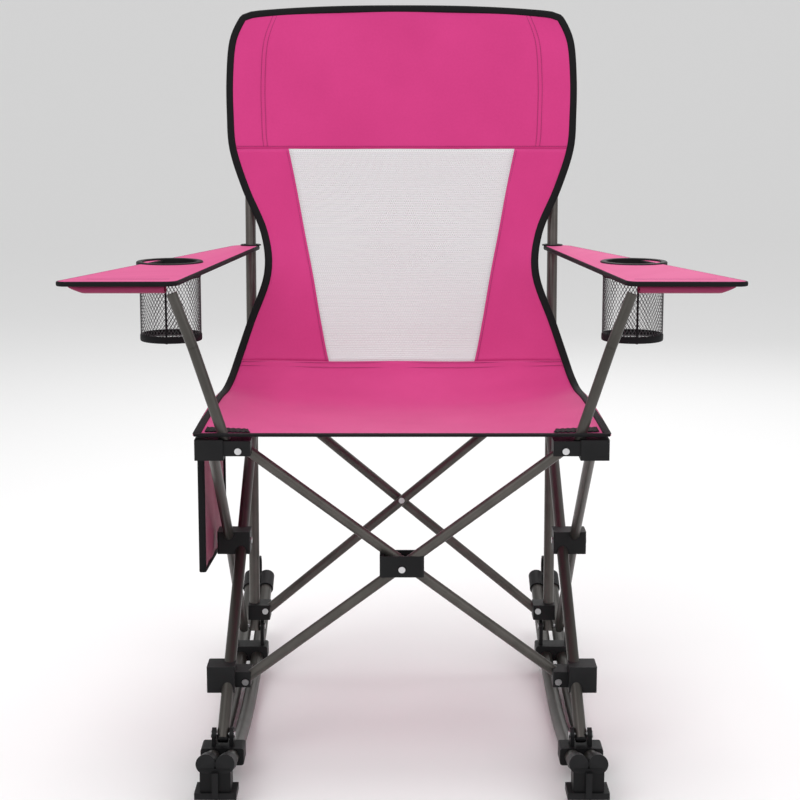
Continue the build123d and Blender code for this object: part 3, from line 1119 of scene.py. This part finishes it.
@dataclass
class Pouch:
    """Flat side pocket hung from the seat's edge by two tabs."""

    bulge: float = 0.0035
    front_drop: float = 0.029
    mouth_drop: float = 0.006
    cloth: float = 0.0014
    margin: float = 0.02

    def __post_init__(self) -> None:
        """Read the pouch's box, and where its walls stand."""
        self.low, self.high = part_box("side_pouch")
        self.outer_wall = self.low.x + 0.0035
        self.inner_wall = self.high.x - 0.0045

    def place(self, u: float, v: float, outward: float, wall: float) -> Point:
        """A point of a wall.

        Args:
            u: Share of the way from front to rear.
            v: Share of the way from bottom to top.
            outward: Which way the wall swells: -1 and 1 along x, or 0 for neither.
            wall: The flat wall's x.

        Returns:
            The point in the row frame.
        """
        low, high = self.low, self.high
        bottom = low.z + self.front_drop * (1 - u)
        top = high.z - self.mouth_drop * u
        swell = math.sin(math.pi * u) * math.sin(math.pi * min(1.0, v * 1.08))
        fold = 0.0008 * math.sin(22 * u + 3 * v)
        x = wall + outward * (self.bulge * swell + fold)
        return (x, low.y + (high.y - low.y) * u, bottom + (top - bottom) * v)

    def wall_piece(
        self, name: str, surface: Callable[[float, float], Point], material: bpy.types.Material
    ) -> bpy.types.Object:
        """One cloth wall, hung from the seat."""
        piece = grid_piece(name, 44, 30, surface, material)
        width, length = self.high.y - self.low.y + self.margin, self.high.z - self.low.z + self.margin
        declare_sheet(piece, width, length)
        thicken(piece, self.cloth)
        return piece

    def build(self) -> None:
        """Make both walls, the edge tape and the tabs."""

        def outer(u: float, v: float) -> Point:
            return self.place(u, v, -1, self.outer_wall)

        def inner(u: float, v: float) -> Point:
            return self.place(u, v, 1 if v < 1 else 0, self.inner_wall)

        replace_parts(self.wall_piece("pouch_front", outer, PINK), "side_pouch")
        # The inner wall takes the darker pink cloth: painted shade.
        self.wall_piece("pouch_back", inner, PINK_PAINTED_SHADE)
        middle = (self.low.x + self.high.x) / 2
        down = [(0, v) for v in spaced(1, 0, 20)]
        back = [(u, 0) for u in spaced(0, 1, 30)[1:]]
        up = [(1, v) for v in spaced(0, 1, 20)[1:]]
        path = [Vector(self.place(u, v, 0, middle)) for u, v in down + back + up]
        wide = self.high.x - self.low.x - 0.001
        swept_piece("pouch_binding", path, Vector((1, 0, 0)), wide, 0.005, TAPE)
        for name, wall in (("outer", self.outer_wall), ("inner", self.inner_wall)):
            mouth = [Vector(self.place(u, 1, 0, wall)) for u in spaced(0, 1, 30)]
            swept_piece(f"pouch_mouth_{name}", mouth, Vector((0, 0, 1)), 0.008, 0.0026, TAPE)
        for number, u in enumerate((0.12, 0.88)):
            self.tab(number, u)

    def tab(self, number: int, u: float) -> None:
        """A short strap from the pouch's mouth up to the seat's edge."""
        seat_low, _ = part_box("seat_panel")
        foot = Vector(self.place(u, 0.97, 0, self.high.x - 0.003))
        head = Vector((seat_low.x + 0.002, foot.y, STATIONS[3].edge_z - 0.004))
        path = [foot.lerp(head, t) + Vector((0.002 * math.sin(math.pi * t), 0, 0)) for t in spaced(0, 1, 10)]
        swept_piece(f"pouch_tab_{number}", path, Vector((0, 1, 0)), 0.020, 0.0018, TAPE)


# ---- frame ----


class SteelFrame:
    """The carried-over tubes, brackets and fasteners, with their finishes and small end plugs."""

    FINISHES = {
        Slot.STEEL: STEEL, Slot.RIVET: ZINC, Slot.PLASTIC: PLASTIC,
        Slot.FABRIC: PINK, Slot.MESH: WINDOW, Slot.NET: NET,
    }

    def dress(self) -> None:
        """Give each CAD node the finish of its material slot."""
        for entry in frame["record"]["subparts"]:
            node = frame["nodes"][entry["node"]]
            node.data.materials.clear()
            node.data.materials.append(self.FINISHES[Slot(entry["material_slot"])])

    def plugs(self) -> None:
        """Black plugs in the open feet of the front legs."""
        for side in Side:
            low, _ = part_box(f"front_leg_tube_{side.label}")
            saddle_low, saddle_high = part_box(f"front_saddle_{side.label}")
            x = (saddle_low.x + saddle_high.x) / 2
            foot = Vector((x, low.y + 0.0072, low.z + 0.0065))
            along = Vector((0, 0.66, 0.75)).normalized()
            path = [foot + along * reach for reach in (-0.0035, -0.001, 0.004)]
            swept_piece(f"leg_plug_{side.label}", path, Vector((1, 0, 0)), 0.0165, 0.0165, PLASTIC)


# ---- studio ----


@dataclass
class Studio:
    """Pale floor, soft lights and the camera."""

    lens: float = 83.7
    sensor: float = 36.0
    camera_place: Point = (-0.0028, -2.9505, 1.029)
    pitch: float = 9.85
    sky: float = 0.68

    def floor(self) -> None:
        """A wide pale floor that curves up far behind the chair."""
        reach, front, depth, rise = 14.0, -6.0, 9.0, 9.0
        level = 0.7

        def place(u: float, v: float) -> Point:
            x = (u - 0.5) * 2 * reach
            if v < level:
                return (x, front + (depth - front) * v / level, 0.0)
            angle = (v - level) / (1 - level) * math.pi / 2
            return (x, depth + rise * math.sin(angle), rise * (1 - math.cos(angle)))

        mesh = grid_mesh("floor", 8, 60, place)
        mesh.materials.append(PAPER)
        mesh.shade_smooth()
        linked("floor", mesh)

    def light(self, name: str, place: Point, size: float, power: float, aim: Point = (0, 0, 0.6)) -> None:
        """A square soft box aimed at a point.

        Args:
            name: Name of the light.
            place: Where it stands.
            size: Length of its sides.
            power: Its power in watts.
            aim: What it points at.
        """
        lamp = bpy.data.lights.new(name, "AREA")
        lamp.size = size
        lamp.energy = power
        holder = linked(name, lamp)
        holder.location = place
        holder.rotation_mode = "QUATERNION"
        holder.rotation_quaternion = (Vector(aim) - Vector(place)).to_track_quat("-Z", "Y")

    def camera(self) -> None:
        """The camera, level from side to side and looking slightly down."""
        data = bpy.data.cameras.new("camera")
        data.lens = self.lens
        data.sensor_width = self.sensor
        holder = linked("camera", data)
        holder.location = self.camera_place
        holder.rotation_euler = (math.radians(90 - self.pitch), 0, 0)
        bpy.context.scene.camera = holder

    def build(self) -> None:
        """Set up the whole studio."""
        world = bpy.data.worlds.new("studio")
        world.use_nodes = True
        background = world.node_tree.nodes["Background"]
        background.inputs["Color"].default_value = (1.0, 1.0, 1.0, 1.0)
        background.inputs["Strength"].default_value = self.sky
        bpy.context.scene.world = world
        bpy.context.scene.view_settings.view_transform = "Standard"
        self.floor()
        self.light("key", (-2.2, -3.2, 3.4), 2.6, 52)
        self.light("fill", (2.8, -2.6, 2.0), 2.6, 24)
        self.light("top", (0.0, 0.6, 3.6), 2.4, 46)
        self.light("back", (0.8, 3.2, 2.4), 2.0, 16)
        self.camera()


def main() -> None:
    """Build the chair and its studio in order."""
    log.info("studio")
    Studio().build()
    steel = SteelFrame()
    steel.dress()
    steel.plugs()
    log.info("sling")
    Sling().build()
    for side in Side:
        log.info("arm %s", side.label)
        Armrest(side).build()
    Pouch().build()


if __name__ == "__main__":
    main()
